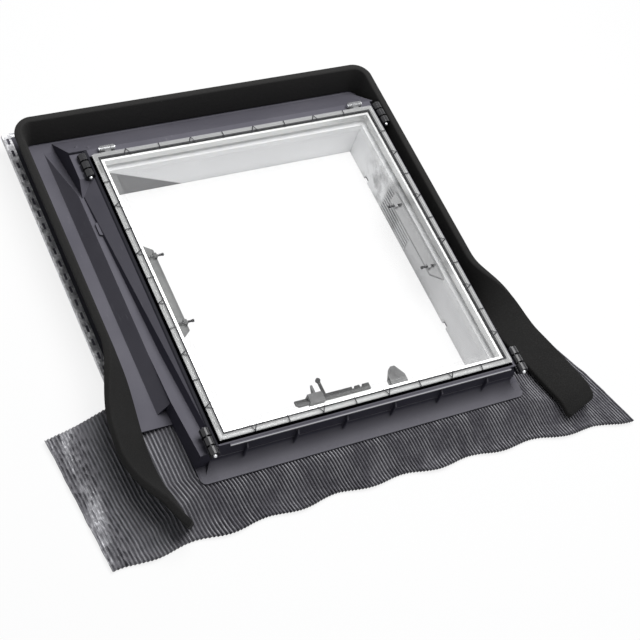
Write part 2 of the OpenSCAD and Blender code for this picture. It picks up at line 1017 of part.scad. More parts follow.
// The left edge leans out to the rear and the right edge leans in
function left_edge(y) = -(nose_x + left_flap) - 0.11 * (y - apron_front);
function right_edge(y) = nose_x + right_flap - 0.46 * (y - apron_front);
function flap_edge(x) = flap_rear + (x < 0 ? flap_skew * (x - left_edge(flap_rear)) : 0);
function row_y(j) = j <= strip_rows
    ? mix(apron_front, lap_y, j / strip_rows)
    : mix(lap_y, flap_rear, (j - strip_rows) / (all_rows - strip_rows));
function col_x(i, y) = i <= left_cols
    ? mix(left_edge(y), -lap_x, i / left_cols)
    : i <= left_cols + mid_cols
        ? mix(-lap_x, lap_x, (i - left_cols) / mid_cols)
        : mix(lap_x, right_edge(y), (i - left_cols - mid_cols) / right_cols);
function fall(x, y) = max(ease((abs(x) - nose_x) / 150), ease((flange_front - y) / apron_reach));
wave_h = 1.3;
wave_d = 4;
function edge_wave(x) = cos((x + 22) * 2.85) + 0.35 * sin(x * 1.1 - 30);
function front_edge(x) = apron_front - apron_bow * pow(x / (nose_x + left_flap), 2) - wave_d * edge_wave(x);
function apron_mid(x, y) = mix(sheet_mid, ground_mid, fall(x, y)) + wave_h * edge_wave(x) * fall(x, y);
function apron_point(i, j, face) =
    let (x = col_x(i, row_y(j)))
    let (y = j < strip_rows
        ? mix(front_edge(x), lap_y, j / strip_rows)
        : mix(lap_y, flap_edge(x), (j - strip_rows) / (all_rows - strip_rows)))
    let (fold = (i % 2 == 0 ? 1 : -1) * pleat_h / 2)
    [x, y, apron_mid(x, y) + fold + (face == 0 ? 1 : -1) * sheet_t / 2];
function apron_has(i, j) = i >= 0 && i < all_cols && j >= 0 && j < all_rows
    && (j < strip_rows || i < left_cols || i >= left_cols + mid_cols);
function spot(i, j, face) = (face * (all_rows + 1) + j) * (all_cols + 1) + i;
function two(a, b, c, d) = [[a, b, c], [a, c, d]];
function flatten(lists) = [for (list = lists) for (item = list) item];

module apron() {
    points = [
        for (face = [0, 1])
            for (j = [0 : all_rows])
                for (i = [0 : all_cols])
                    apron_point(i, j, face)
    ];
    cells = [
        for (j = [0 : all_rows - 1])
            for (i = [0 : all_cols - 1])
                if (apron_has(i, j)) [i, j]
    ];
    faces = flatten([
        for (cell = cells)
            let (i = cell[0], j = cell[1])
            concat(
                two(spot(i, j, 0), spot(i, j + 1, 0), spot(i + 1, j + 1, 0), spot(i + 1, j, 0)),
                two(spot(i, j, 1), spot(i + 1, j, 1), spot(i + 1, j + 1, 1), spot(i, j + 1, 1)),
                apron_has(i, j - 1) ? []
                    : two(spot(i, j, 0), spot(i + 1, j, 0), spot(i + 1, j, 1), spot(i, j, 1)),
                apron_has(i + 1, j) ? []
                    : two(spot(i + 1, j, 0), spot(i + 1, j + 1, 0), spot(i + 1, j + 1, 1), spot(i + 1, j, 1)),
                apron_has(i - 1, j) ? []
                    : two(spot(i, j + 1, 0), spot(i, j, 0), spot(i, j, 1), spot(i, j + 1, 1)),
                apron_has(i, j + 1) ? []
                    : two(spot(i + 1, j + 1, 0), spot(i, j + 1, 0), spot(i, j + 1, 1), spot(i + 1, j + 1, 1))
            )
    ]);
    color(colour_apron)
        polyhedron(points, faces, convexity = 10);
}

// Foam strip: stands on edge round the rear and both sides, and lies down at its two loose front ends
foam_left = flange_left + 17;
foam_right = flange_right - 9.5;
foam_turn = 24;
left_lean = 22;
loose_steps = 16;
turn_steps = 6;

function bezier(p, t) = let (u = 1 - t)
    u * u * u * p[0] + 3 * t * u * u * p[1] + 3 * t * t * u * p[2] + t * t * t * p[3];
loose_from = plate_front + 2.6 * foam_w;
left_bulge = 1.25 * foam_w;
left_end_x = 0.33 * foam_w;
left_end_y = plate_front - 2.97 * foam_w;
right_swing = 1.65 * foam_w;
right_end_y = plate_front - 2.76 * foam_w;
left_loose = [
    [foam_left, loose_from],
    [foam_left - 0.07 * foam_w, mix(loose_from, left_end_y, 0.28)],
    [foam_left - left_bulge, mix(loose_from, left_end_y, 0.62)],
    [foam_left + left_end_x, left_end_y]
];
right_loose = [
    [foam_right, loose_from],
    [foam_right, mix(loose_from, right_end_y, 0.3)],
    [foam_right + 0.98 * foam_w, mix(loose_from, right_end_y, 0.62)],
    [foam_right + right_swing, right_end_y]
];
function left_twist(t) = left_lean + 38 * ease(t / 0.5) - 34 * ease((t - 0.6) / 0.4);
function right_twist(t) = 84 * ease((t - 0.05) / 0.55);
function right_spread(t) = 1 + 0.17 * ease((t - 0.1) / 0.5);

// Each station is X, Y, the lean from upright, how far along its loose end it is and the share of the width
foam_route = concat(
    [for (k = [loose_steps : -1 : 0])
        let (t = k / loose_steps)
        concat(bezier(left_loose, t), [left_twist(t), t, 1])],
    [for (k = [0 : turn_steps])
        let (part = k / turn_steps, a = 180 - 90 * part)
        [foam_left + foam_turn + foam_turn * cos(a), foam_rear - foam_turn + foam_turn * sin(a),
         mix(left_lean, rear_lean, part), 0, 1]],
    [for (k = [0 : turn_steps])
        let (part = k / turn_steps, a = 90 - 90 * part)
        [foam_right - foam_turn + foam_turn * cos(a), foam_rear - foam_turn + foam_turn * sin(a),
         mix(rear_lean, 0, part), 0, 1]],
    [for (k = [0 : loose_steps])
        let (t = k / loose_steps)
        concat(bezier(right_loose, t), [right_twist(t), t, right_spread(t)])]
);
foam_cut = 2;
foam_section = [
    for (corner = [[1, 1], [1, -1], [-1, -1], [-1, 1]])
        for (cut_width = (corner[0] * corner[1] > 0 ? [true, false] : [false, true]))
            [
                corner[0] * (foam_w / 2 - (cut_width ? foam_cut : 0)),
                corner[1] * (foam_t / 2 - (cut_width ? 0 : foam_cut))
            ]
];

// What the strip lies on: the flange, then the edging, then the apron
function foam_base(x, y, t) = mix(
    flange_z + edge_up * ease(t / 0.2),
    apron_mid(abs(x) - foam_w / 2 - 10, y) + pleat_h / 2 + sheet_t / 2 + 1.6 * wave_h,
    ease((t - 0.5) / 0.35)
) + soft_fit;
function foam_ring(k) =
    let (last = len(foam_route) - 1)
    let (here = foam_route[k], back = foam_route[max(0, k - 1)], ahead = foam_route[min(last, k + 1)])
    let (dx = ahead[0] - back[0], dy = ahead[1] - back[1], run = norm([dx, dy]))
    let (out = [-dy / run, dx / run], lean = here[2], wide = here[4])
    let (rise = (foam_w * wide * abs(cos(lean)) + foam_t * abs(sin(lean))) / 2)
    let (mid_z = foam_base(here[0], here[1], here[3]) + rise)
    [for (s = foam_section)
        let (side = s[0] * wide * sin(lean) + s[1] * cos(lean))
        let (up = s[0] * wide * cos(lean) - s[1] * sin(lean))
        [here[0] + out[0] * side, here[1] + out[1] * side, mid_z + up]];

module foam_strip() {
    sides = len(foam_section);
    rings = len(foam_route);
    points = flatten([for (k = [0 : rings - 1]) foam_ring(k)]);
    faces = concat(
        flatten([
            for (k = [0 : rings - 2])
                for (s = [0 : sides - 1])
                    let (n = (s + 1) % sides)
                    two(k * sides + s, (k + 1) * sides + s, (k + 1) * sides + n, k * sides + n)
        ]),
        [[for (s = [0 : sides - 1]) s]],
        [[for (s = [sides - 1 : -1 : 0]) (rings - 1) * sides + s]]
    );
    color(colour_black)
        polyhedron(points, faces, convexity = 10);
}

flashing_frame();
lining_left();
lining_right();
lining_front();
lining_rear();
frame_seal();
catch_left();
catch_right();
catch_pins_left();
catch_pins_right();
keeper();
frame_hinge_left();
frame_hinge_right();
hinge_pin_left();
hinge_pin_right();
knuckles_rear_left();
knuckles_rear_right();
knuckles_front_left();
knuckles_front_right();
knuckle_pins();
edging_left();
edging_rear();
edging_right();
apron();
foam_strip();
sash_frame();
outer_pane();
inner_pane();
spacer_gasket();
sash_hinge_left();
sash_hinge_right();
latch_guide();
latch_bar();
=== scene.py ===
import math

import bpy
import numpy as np
from mathutils import Matrix, Vector


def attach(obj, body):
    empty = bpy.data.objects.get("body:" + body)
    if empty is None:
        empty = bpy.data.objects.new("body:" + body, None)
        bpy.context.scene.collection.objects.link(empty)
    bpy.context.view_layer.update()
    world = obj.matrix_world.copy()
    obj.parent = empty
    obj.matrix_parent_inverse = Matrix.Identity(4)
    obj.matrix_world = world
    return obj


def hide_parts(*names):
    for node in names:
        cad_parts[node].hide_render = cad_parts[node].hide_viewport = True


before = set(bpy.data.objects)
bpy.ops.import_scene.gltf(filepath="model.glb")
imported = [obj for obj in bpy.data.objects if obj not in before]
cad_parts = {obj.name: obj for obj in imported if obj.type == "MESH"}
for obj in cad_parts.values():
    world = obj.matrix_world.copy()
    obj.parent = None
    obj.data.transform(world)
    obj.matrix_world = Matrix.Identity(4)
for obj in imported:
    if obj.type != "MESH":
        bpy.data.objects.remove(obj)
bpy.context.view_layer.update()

scene = bpy.context.scene
scene.view_settings.view_transform = "Standard"
scene.cycles.transparent_max_bounces = 40
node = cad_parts


# The place for the photograph: a grey sweep that looks white to the eye, with a white card under the opening,
# one broad lamp overhead, to the right and the rear, and the camera on the front left, looking down.
def wire(tree, kind, sockets=None, **settings):
    made = tree.nodes.new(kind)
    for key, value in settings.items():
        setattr(made, key, value)
    for key, value in (sockets or {}).items():
        if isinstance(value, bpy.types.NodeSocket):
            tree.links.new(value, made.inputs[key])
        else:
            made.inputs[key].default_value = value
    return made


def worked(tree, operation, *values):
    return wire(tree, "ShaderNodeMath", dict(enumerate(values)), operation=operation).outputs[0]


def blend_colour(tree, share, first, second):
    return wire(tree, "ShaderNodeMix", {0: share, 6: first, 7: second}, data_type="RGBA").outputs[2]


def seen_rays(tree):
    path = wire(tree, "ShaderNodeLightPath")
    first = worked(tree, "MAXIMUM", path.outputs["Is Camera Ray"], path.outputs["Is Glossy Ray"])
    return worked(tree, "MAXIMUM", first, path.outputs["Is Transmission Ray"])


seen_white, seen_glow = (0.96, 0.96, 0.96, 1), 0.85
for name, half_x, half_y, low, tone in (("sweep", 40.0, 40.0, -0.0008, 0.13), ("card", 0.247, 0.259, -0.0004, 0.90)):
    paper_mesh = bpy.data.meshes.new(name)
    corners = [(x * half_x, y * half_y, low) for x, y in ((-1, -1), (1, -1), (1, 1), (-1, 1))]
    paper_mesh.from_pydata(corners, [], [(0, 1, 2, 3)])
    ground = bpy.data.objects.new(name, paper_mesh)
    scene.collection.objects.link(ground)
    paper = bpy.data.materials.new(name + "_paper")
    paper.use_nodes = True
    tree = paper.node_tree
    tree.nodes.remove(tree.nodes["Principled BSDF"])
    looked_at = seen_rays(tree)
    both_tones = blend_colour(tree, looked_at, (tone, tone, tone, 1), seen_white)
    lit = wire(tree, "ShaderNodeBsdfDiffuse", {"Color": both_tones})
    bright = wire(tree, "ShaderNodeEmission", {"Color": (1, 1, 1, 1), "Strength": 1.0})
    share = worked(tree, "MULTIPLY", looked_at, seen_glow)
    both = wire(tree, "ShaderNodeMixShader", {0: share, 1: lit.outputs[0], 2: bright.outputs[0]})
    tree.links.new(both.outputs[0], tree.nodes["Material Output"].inputs["Surface"])
    paper_mesh.materials.append(paper)

room = bpy.data.worlds.new("room")
room.use_nodes = True
scene.world = room
tree = room.node_tree
dim = wire(tree, "ShaderNodeBackground", {"Color": (0.93, 0.95, 1.0, 1), "Strength": 0.15})
white = wire(tree, "ShaderNodeBackground", {"Color": (1, 1, 1, 1), "Strength": 1.0})
both = wire(tree, "ShaderNodeMixShader", {0: seen_rays(tree), 1: dim.outputs[0], 2: white.outputs[0]})
tree.links.new(both.outputs[0], tree.nodes["World Output"].inputs["Surface"])

lamp_place, lamp_aim = Vector((0.35, 0.28, 2.5)), Vector((0, 0, 0.05))
lamp = bpy.data.lights.new("overhead", "AREA")
lamp.size = 2.0
lamp.energy = 74.0
lamp_holder = bpy.data.objects.new("overhead", lamp)
lamp_holder.location = lamp_place
lamp_holder.rotation_euler = (lamp_aim - lamp_place).to_track_quat("-Z", "Y").to_euler()
scene.collection.objects.link(lamp_holder)

lens_px, photo_px = 1607.0, 640.0
eye = bpy.data.cameras.new("photo_camera")
eye.sensor_width = 36.0
eye.lens = lens_px / photo_px * eye.sensor_width
eye_holder = bpy.data.objects.new("photo_camera", eye)
eye_holder.matrix_world = Matrix(((0.8748, 0.2098, -0.4367, -1.165), (-0.4053, 0.8107, -0.4225, -1.227),
                                  (0.2654, 0.5466, 0.7942, 2.177), (0, 0, 0, 1)))
scene.collection.objects.link(eye_holder)
scene.camera = eye_holder


# The frame: one injection-moulded shell of anthracite plastic with a violet tint, open below.
# Flange, left step, ramp, front wall and collar are a single shot; it is screwed down at the rear.
def finish_for(name):
    made = bpy.data.materials.new(name)
    made.use_nodes = True
    place = wire(made.node_tree, "ShaderNodeTexCoord").outputs["Object"]
    return made, made.node_tree, made.node_tree.nodes["Principled BSDF"], place


def stretch(tree, value, low, high, to_low=0.0, to_high=1.0):
    return wire(tree, "ShaderNodeMapRange", {"Value": value, "From Min": low, "From Max": high,
                                             "To Min": to_low, "To Max": to_high}).outputs["Result"]


def wear(finish, *names):
    for each in names:
        node[each].data.materials.clear()
        node[each].data.materials.append(finish)


def shader_group(name, rates, results):
    made = bpy.data.node_groups.new(name, "ShaderNodeTree")
    made.interface.new_socket("Place", in_out="INPUT", socket_type="NodeSocketVector")
    for label in rates:
        made.interface.new_socket(label, in_out="INPUT", socket_type="NodeSocketFloat")
    for label in results:
        made.interface.new_socket(label, in_out="OUTPUT", socket_type="NodeSocketFloat")
    return made, wire(made, "NodeGroupInput")


grain, given = shader_group("moulded_grain", ("Grains per metre", "Clouds per metre"), ("Tone", "Height"))
fine = wire(grain, "ShaderNodeTexNoise", {"Vector": given.outputs[0], "Scale": given.outputs[1], "Detail": 2.0})
flow = wire(grain, "ShaderNodeTexNoise", {"Vector": given.outputs[0], "Scale": given.outputs[2], "Detail": 4.0,
                                          "Roughness": 0.6})
sum_of = worked(grain, "MULTIPLY_ADD", fine.outputs["Fac"], 0.22, flow.outputs["Fac"])
tone = stretch(grain, sum_of, 0.35, 0.9)
wire(grain, "NodeGroupOutput", {0: tone, 1: fine.outputs["Fac"]})

marks, given = shader_group("handling_marks", ("Marks per metre",), ("Marks",))
drawn = wire(marks, "ShaderNodeMapping", {"Vector": given.outputs[0], "Rotation": (0.3, 0.2, 0.7),
                                          "Scale": (1.0, 0.12, 1.0)})
lines = wire(marks, "ShaderNodeTexNoise", {"Vector": drawn.outputs[0], "Scale": given.outputs[1], "Detail": 5.0,
                                           "Roughness": 0.7})
where = wire(marks, "ShaderNodeTexNoise", {"Vector": given.outputs[0], "Scale": 9.0, "Detail": 2.0})
sharp = stretch(marks, lines.outputs["Fac"], 0.62, 0.74)
patch = stretch(marks, where.outputs["Fac"], 0.45, 0.65)
kept = worked(marks, "MULTIPLY", sharp, patch)
wire(marks, "NodeGroupOutput", {0: kept})


def grained(tree, place, per_metre, clouds):
    return wire(tree, "ShaderNodeGroup", {"Place": place, "Grains per metre": per_metre, "Clouds per metre": clouds},
                node_tree=grain)


def marked(tree, place, per_metre):
    made = wire(tree, "ShaderNodeGroup", {"Place": place, "Marks per metre": per_metre}, node_tree=marks)
    return made.outputs["Marks"]


def soft_edges(tree, bsdf, radius, height=None, depth=0.0):
    edge = wire(tree, "ShaderNodeBevel", {"Radius": radius}, samples=4)
    face = wire(tree, "ShaderNodeNewGeometry").outputs["True Normal"]
    same = wire(tree, "ShaderNodeVectorMath", {0: edge.outputs[0], 1: face}, operation="DOT_PRODUCT").outputs["Value"]
    if height is None:
        tree.links.new(edge.outputs[0], bsdf.inputs["Normal"])
    else:
        rough = wire(tree, "ShaderNodeBump", {"Strength": 0.5, "Distance": depth, "Height": height,
                                              "Normal": edge.outputs[0]})
        tree.links.new(rough.outputs[0], bsdf.inputs["Normal"])
    return stretch(tree, same, 0.98, 0.86)


def levelness(tree):
    facing = wire(tree, "ShaderNodeSeparateXYZ", {0: wire(tree, "ShaderNodeTexCoord").outputs["Normal"]})
    return worked(tree, "ABSOLUTE", facing.outputs["Z"])


frame_plastic, tree, bsdf, place = finish_for("anthracite_moulding")
shell_grain = grained(tree, place, 900.0, 7.0)
shell_marks = marked(tree, place, 260.0)
body_tone = blend_colour(tree, shell_grain.outputs["Tone"], (0.100, 0.097, 0.118, 1), (0.142, 0.138, 0.162, 1))
shell_edges = soft_edges(tree, bsdf, 0.0016, shell_grain.outputs["Height"], 0.00012)
worn_edges = worked(tree, "MULTIPLY", shell_edges, stretch(tree, shell_grain.outputs["Tone"], 0.2, 0.8, 0.25, 0.7))
light_spots = worked(tree, "MAXIMUM", worn_edges, shell_marks)
axes = wire(tree, "ShaderNodeSeparateXYZ", {0: place})
crest_z, crest_x = (0.0885, 0.0895), (-0.2718, -0.2724)
lip_z, lip_y, lip_share = (0.058, 0.036), (-0.290, -0.296), 0.4
bead_z, bead_y, bead_share = (0.0862, 0.0868), (-0.2905, -0.2910), 0.8
# Painted shadow: the left crest under the sash's edge is darkened.
crest_shadow = worked(tree, "MULTIPLY", stretch(tree, axes.outputs["Z"], *crest_z), stretch(tree, axes.outputs["X"], *crest_x))
# Painted shade: upright faces are darker than level ones.
body_tone = blend_colour(tree, stretch(tree, levelness(tree), 0.45, 0.2), body_tone, (0.062, 0.060, 0.082, 1))
shell_tone = blend_colour(tree, light_spots, body_tone, (0.25, 0.245, 0.27, 1))
shell_tone = blend_colour(tree, crest_shadow, shell_tone, (0.020, 0.020, 0.026, 1))
# Painted light: the cove's lower lip, towards the front edge, is lighter.
cove_painted_light = worked(tree, "MULTIPLY", stretch(tree, axes.outputs["Z"], *lip_z, 0.0, lip_share),
                    stretch(tree, axes.outputs["Y"], *lip_y))
shell_tone = blend_colour(tree, cove_painted_light, shell_tone, (0.190, 0.186, 0.205, 1))
# Painted highlight: a light line along the top of the front bead.
bead_highlight = worked(tree, "MULTIPLY", stretch(tree, axes.outputs["Z"], *bead_z),
              stretch(tree, axes.outputs["Y"], *bead_y, 0.0, bead_share))
tree.links.new(blend_colour(tree, bead_highlight, shell_tone, (0.52, 0.52, 0.54, 1)), bsdf.inputs["Base Color"])
tree.links.new(stretch(tree, shell_grain.outputs["Tone"], 0.0, 1.0, 0.56, 0.44), bsdf.inputs["Roughness"])
bsdf.inputs["Specular IOR Level"].default_value = 0.09
wear(frame_plastic, "flashing_frame")


# The lining: four pale, glossy boards that line the throat, pressed in from below.
# The dark corner on the rear board is a painted shadow of the left board; the right one is painted darker towards its
# front end and in two grey patches.
def away_from(tree, value, centre):
    return worked(tree, "ABSOLUTE", worked(tree, "SUBTRACT", value, centre))


lining_plastic, tree, bsdf, place = finish_for("pale_lining")
board_grain = grained(tree, place, 500.0, 11.0)
axes = wire(tree, "ShaderNodeSeparateXYZ", {0: place})
corner_x, corner_slope, corner_z = -0.2475, 2.1, 0.074
rear_face, right_face, lower_end = (0.2590, 0.2595), (0.2460, 0.2465), (0.125, 0.115)
cloud_y, cloud_reach, dark_patch_y, dark_patch_reach, patch_share = 0.165, (0.055, 0.015), 0.100, (0.034, 0.022), 0.8
# Painted shadow: the left board's top edge shades the rear board's left corner.
down = worked(tree, "SUBTRACT", corner_z, axes.outputs["Z"])
reach = worked(tree, "MULTIPLY_ADD", down, corner_slope, corner_x)
past = worked(tree, "SUBTRACT", reach, axes.outputs["X"])
rear_shade = stretch(tree, past, -0.001, 0.003)
rear_only = stretch(tree, axes.outputs["Y"], *rear_face)
shade = worked(tree, "MULTIPLY", rear_shade, rear_only)
pale = blend_colour(tree, board_grain.outputs["Tone"], (0.90, 0.905, 0.91, 1), (0.96, 0.965, 0.97, 1))
# The right board is darker towards its front end and has two grey patches, a cloudy one and a darker one.
right_only = stretch(tree, axes.outputs["X"], *right_face)
lower = worked(tree, "MULTIPLY", right_only, stretch(tree, axes.outputs["Y"], *lower_end))
pale = blend_colour(tree, lower, pale, (0.73, 0.73, 0.735, 1))
cloud = wire(tree, "ShaderNodeTexNoise", {"Vector": place, "Scale": 30.0, "Detail": 4.0, "Roughness": 0.6})
near_cloud = stretch(tree, away_from(tree, axes.outputs["Y"], cloud_y), *cloud_reach, 0.0, patch_share)
cloudy = worked(tree, "MULTIPLY", stretch(tree, cloud.outputs["Fac"], 0.42, 0.62), near_cloud)
cloudy = worked(tree, "MULTIPLY", cloudy, right_only)
pale = blend_colour(tree, cloudy, pale, (0.30, 0.30, 0.305, 1))
near_dark_patch = stretch(tree, away_from(tree, axes.outputs["Y"], dark_patch_y), *dark_patch_reach, 0.0, patch_share)
dark_patch = worked(tree, "MULTIPLY", stretch(tree, cloud.outputs["Fac"], 0.3, 0.6, 0.5, 1.0), near_dark_patch)
dark_patch = worked(tree, "MULTIPLY", dark_patch, right_only)
pale = blend_colour(tree, dark_patch, pale, (0.26, 0.26, 0.265, 1))
tree.links.new(blend_colour(tree, shade, pale, (0.20, 0.20, 0.205, 1)), bsdf.inputs["Base Color"])
tree.links.new(stretch(tree, board_grain.outputs["Tone"], 0.0, 1.0, 0.16, 0.26), bsdf.inputs["Roughness"])
soft_edges(tree, bsdf, 0.0008, board_grain.outputs["Height"], 0.00006)
wear(lining_plastic, "lining_left", "lining_right", "lining_front", "lining_rear")


# The catches: a grey moulded plate clipped to each side board of the lining.
# Each plate has two ears that hold a black peg each; the right plate carries painted light and so is lighter.
catch_plastic, tree, bsdf, place = finish_for("grey_catch")
plate_grain = grained(tree, place, 700.0, 24.0)
plate_tone = blend_colour(tree, plate_grain.outputs["Tone"], (0.10, 0.10, 0.10, 1), (0.18, 0.182, 0.18, 1))
left_to_right, plate_light_share = (-0.1, 0.1), 0.6
# Painted light: the right plate is lighter than the left.
right_plate_light = stretch(tree, wire(tree, "ShaderNodeSeparateXYZ", {0: place}).outputs["X"], *left_to_right,
                      0.0, plate_light_share)
tree.links.new(blend_colour(tree, right_plate_light, plate_tone, (0.48, 0.48, 0.485, 1)), bsdf.inputs["Base Color"])
tree.links.new(stretch(tree, plate_grain.outputs["Tone"], 0.0, 1.0, 0.3, 0.45), bsdf.inputs["Roughness"])
bsdf.inputs["Specular IOR Level"].default_value = 0.2
soft_edges(tree, bsdf, 0.0008)
wear(catch_plastic, "catch_left", "catch_right")


# The seal: an extruded pale rubber lip in the frame's recess, which the sash presses on.
# The spacer between the panes is a black rubber bar, wrapped in pale foil up to a black line under the pane.
seal_rubber, tree, bsdf, place = finish_for("pale_rubber")
lip_grain = grained(tree, place, 1200.0, 20.0)
tree.links.new(blend_colour(tree, lip_grain.outputs["Tone"], (0.58, 0.585, 0.58, 1), (0.72, 0.725, 0.72, 1)),
               bsdf.inputs["Base Color"])
tree.links.new(stretch(tree, lip_grain.outputs["Tone"], 0.0, 1.0, 0.75, 0.6), bsdf.inputs["Roughness"])
wear(seal_rubber, "frame_seal")

spacer_rubber, tree, bsdf, place = finish_for("foiled_spacer")
bar_grain = grained(tree, place, 1200.0, 20.0)
bar_axes = wire(tree, "ShaderNodeSeparateXYZ", {0: place})
line_z, far_x, far_y, far_share = (0.0918, 0.0924), (0.250, 0.252), (0.262, 0.264), 0.8
outward = wire(tree, "ShaderNodeVectorMath", {0: wire(tree, "ShaderNodeTexCoord").outputs["Normal"], 1: place},
               operation="DOT_PRODUCT").outputs["Value"]
high = stretch(tree, bar_axes.outputs["Z"], *line_z)
outer_line = worked(tree, "MULTIPLY", high, stretch(tree, outward, 0.14, 0.18))
black_tone = blend_colour(tree, bar_grain.outputs["Tone"], (0.006, 0.006, 0.007, 1), (0.012, 0.012, 0.013, 1))
foil_tone = blend_colour(tree, bar_grain.outputs["Tone"], (0.84, 0.845, 0.84, 1), (0.93, 0.93, 0.92, 1))
# Painted shade: the foil is darker on the right and rear sides.
far_foil_shade = worked(tree, "MAXIMUM", stretch(tree, bar_axes.outputs["X"], *far_x, 0.0, far_share),
                   stretch(tree, bar_axes.outputs["Y"], *far_y, 0.0, far_share))
foil_tone = blend_colour(tree, far_foil_shade, foil_tone, (0.66, 0.665, 0.66, 1))
tree.links.new(blend_colour(tree, outer_line, foil_tone, black_tone), bsdf.inputs["Base Color"])
tree.links.new(stretch(tree, outer_line, 0.0, 1.0, 0.7, 0.0), bsdf.inputs["Metallic"])
tree.links.new(stretch(tree, bar_grain.outputs["Tone"], 0.0, 1.0, 0.40, 0.3), bsdf.inputs["Roughness"])
bsdf.inputs["Specular IOR Level"].default_value = 0.1
wear(spacer_rubber, "spacer_gasket")


# The fittings: black moulded pegs and corner knuckles, polished by the mould.
# The keeper and the latch's guide are of a plain grey plastic, and the latch bar is of a darker one.
black_plastic, tree, bsdf, place = finish_for("black_fitting")
peg_grain = grained(tree, place, 1500.0, 60.0)
tree.links.new(blend_colour(tree, peg_grain.outputs["Tone"], (0.006, 0.006, 0.008, 1), (0.016, 0.016, 0.020, 1)),
               bsdf.inputs["Base Color"])
tree.links.new(stretch(tree, peg_grain.outputs["Tone"], 0.0, 1.0, 0.12, 0.2), bsdf.inputs["Roughness"])
bsdf.inputs["Specular IOR Level"].default_value = 0.5
soft_edges(tree, bsdf, 0.0008)
wear(black_plastic, "catch_pins_left", "catch_pins_right", "knuckles_rear_left", "knuckles_rear_right",
     "knuckles_front_left", "knuckles_front_right")

for name, dull, bright, pieces in (("grey_fitting", 0.11, 0.25, ("keeper", "latch_guide")),
                                   ("latch_plastic", 0.03, 0.07, ("latch_bar",))):
    latch_finish, tree, bsdf, place = finish_for(name)
    latch_grain = grained(tree, place, 1100.0, 40.0)
    tree.links.new(blend_colour(tree, latch_grain.outputs["Tone"], (dull, dull, dull, 1), (bright, bright, bright, 1)),
                   bsdf.inputs["Base Color"])
    tree.links.new(stretch(tree, latch_grain.outputs["Tone"], 0.0, 1.0, 0.3, 0.42), bsdf.inputs["Roughness"])
    bsdf.inputs["Specular IOR Level"].default_value = 0.15
    soft_edges(tree, bsdf, 0.0007)
    wear(latch_finish, *pieces)


# The pins: turned steel, bright, with fine marks of the lathe.
# Two carry the sash in its rear hinges, and the others run through the knuckle stacks.
pin_steel, tree, bsdf, place = finish_for("turned_steel")
lathe = wire(tree, "ShaderNodeTexNoise", {"Vector": place, "Scale": 1400.0, "Detail": 2.0})
tree.links.new(blend_colour(tree, lathe.outputs["Fac"], (0.50, 0.51, 0.53, 1), (0.78, 0.79, 0.80, 1)),
               bsdf.inputs["Base Color"])
bsdf.inputs["Metallic"].default_value = 1.0
tree.links.new(stretch(tree, lathe.outputs["Fac"], 0.3, 0.7, 0.18, 0.34), bsdf.inputs["Roughness"])
wear(pin_steel, "hinge_pin_left", "hinge_pin_right", "knuckle_pins")


# The edging: three strips of thin aluminium, folded over the flange's left, rear and right edges.
# They are bent by hand, so they are dented all along, and tarnished in places.
edging_metal, tree, bsdf, place = finish_for("dented_edging")
dents = wire(tree, "ShaderNodeTexNoise", {"Vector": place, "Scale": 120.0, "Detail": 3.0, "Roughness": 0.65})
tarnish = wire(tree, "ShaderNodeTexNoise", {"Vector": place, "Scale": 70.0, "Detail": 4.0})
tree.links.new(blend_colour(tree, stretch(tree, tarnish.outputs["Fac"], 0.42, 0.6), (0.50, 0.50, 0.52, 1),
                            (0.92, 0.92, 0.94, 1)), bsdf.inputs["Base Color"])
bsdf.inputs["Metallic"].default_value = 0.3
tree.links.new(stretch(tree, dents.outputs["Fac"], 0.3, 0.7, 0.22, 0.45), bsdf.inputs["Roughness"])
bumps = wire(tree, "ShaderNodeBump", {"Strength": 0.9, "Distance": 0.0025, "Height": dents.outputs["Fac"]})
tree.links.new(bumps.outputs[0], bsdf.inputs["Normal"])
wear(edging_metal, "edging_left", "edging_rear", "edging_right")


# The apron: one sheet of soft coated aluminium, pleated by rollers and dressed down by hand.
# It is lapped under the flange's front, with a flap at each side; the coating has worn off the ridges.
half_pleats = (68, 194, 66)
steps_per_half = 4
lap_x, lap_y, apron_front, flap_rear, flap_skew = 0.279, -0.300, -0.386, -0.165, 0.22
nose_x, side_fall, nose_y, front_fall, bow = 0.301, 0.150, -0.320, 0.066, 0.018
left_reach, left_splay, right_reach, right_splay, pleat_lean = 0.473, 0.11, 0.496, 0.46, 0.36
under_flange, on_ground, ground_wave, front_wave = 0.0300, 0.0049, 0.0013, 0.004
pleat_high, sheet_gauge, bent_rim, plain_bends, rim_bends = 0.0044, 0.001, 0.03, 0.7, 1.3


def ease(t):
    t = np.clip(t, 0.0, 1.0)
    return t * t * (3.0 - 2.0 * t)


def edge_wave(x):
    return np.cos(np.radians((x * 1000 + 22) * 2.85)) + 0.35 * np.sin(np.radians(x * 1100 - 30))


def apron_fall(x, y):
    return np.maximum(ease((np.abs(x) - nose_x) / side_fall), ease((nose_y - y) / front_fall))


def apron_level(x, y):
    fall = apron_fall(x, y)
    return under_flange + (on_ground - under_flange) * fall + ground_wave * edge_wave(x) * fall


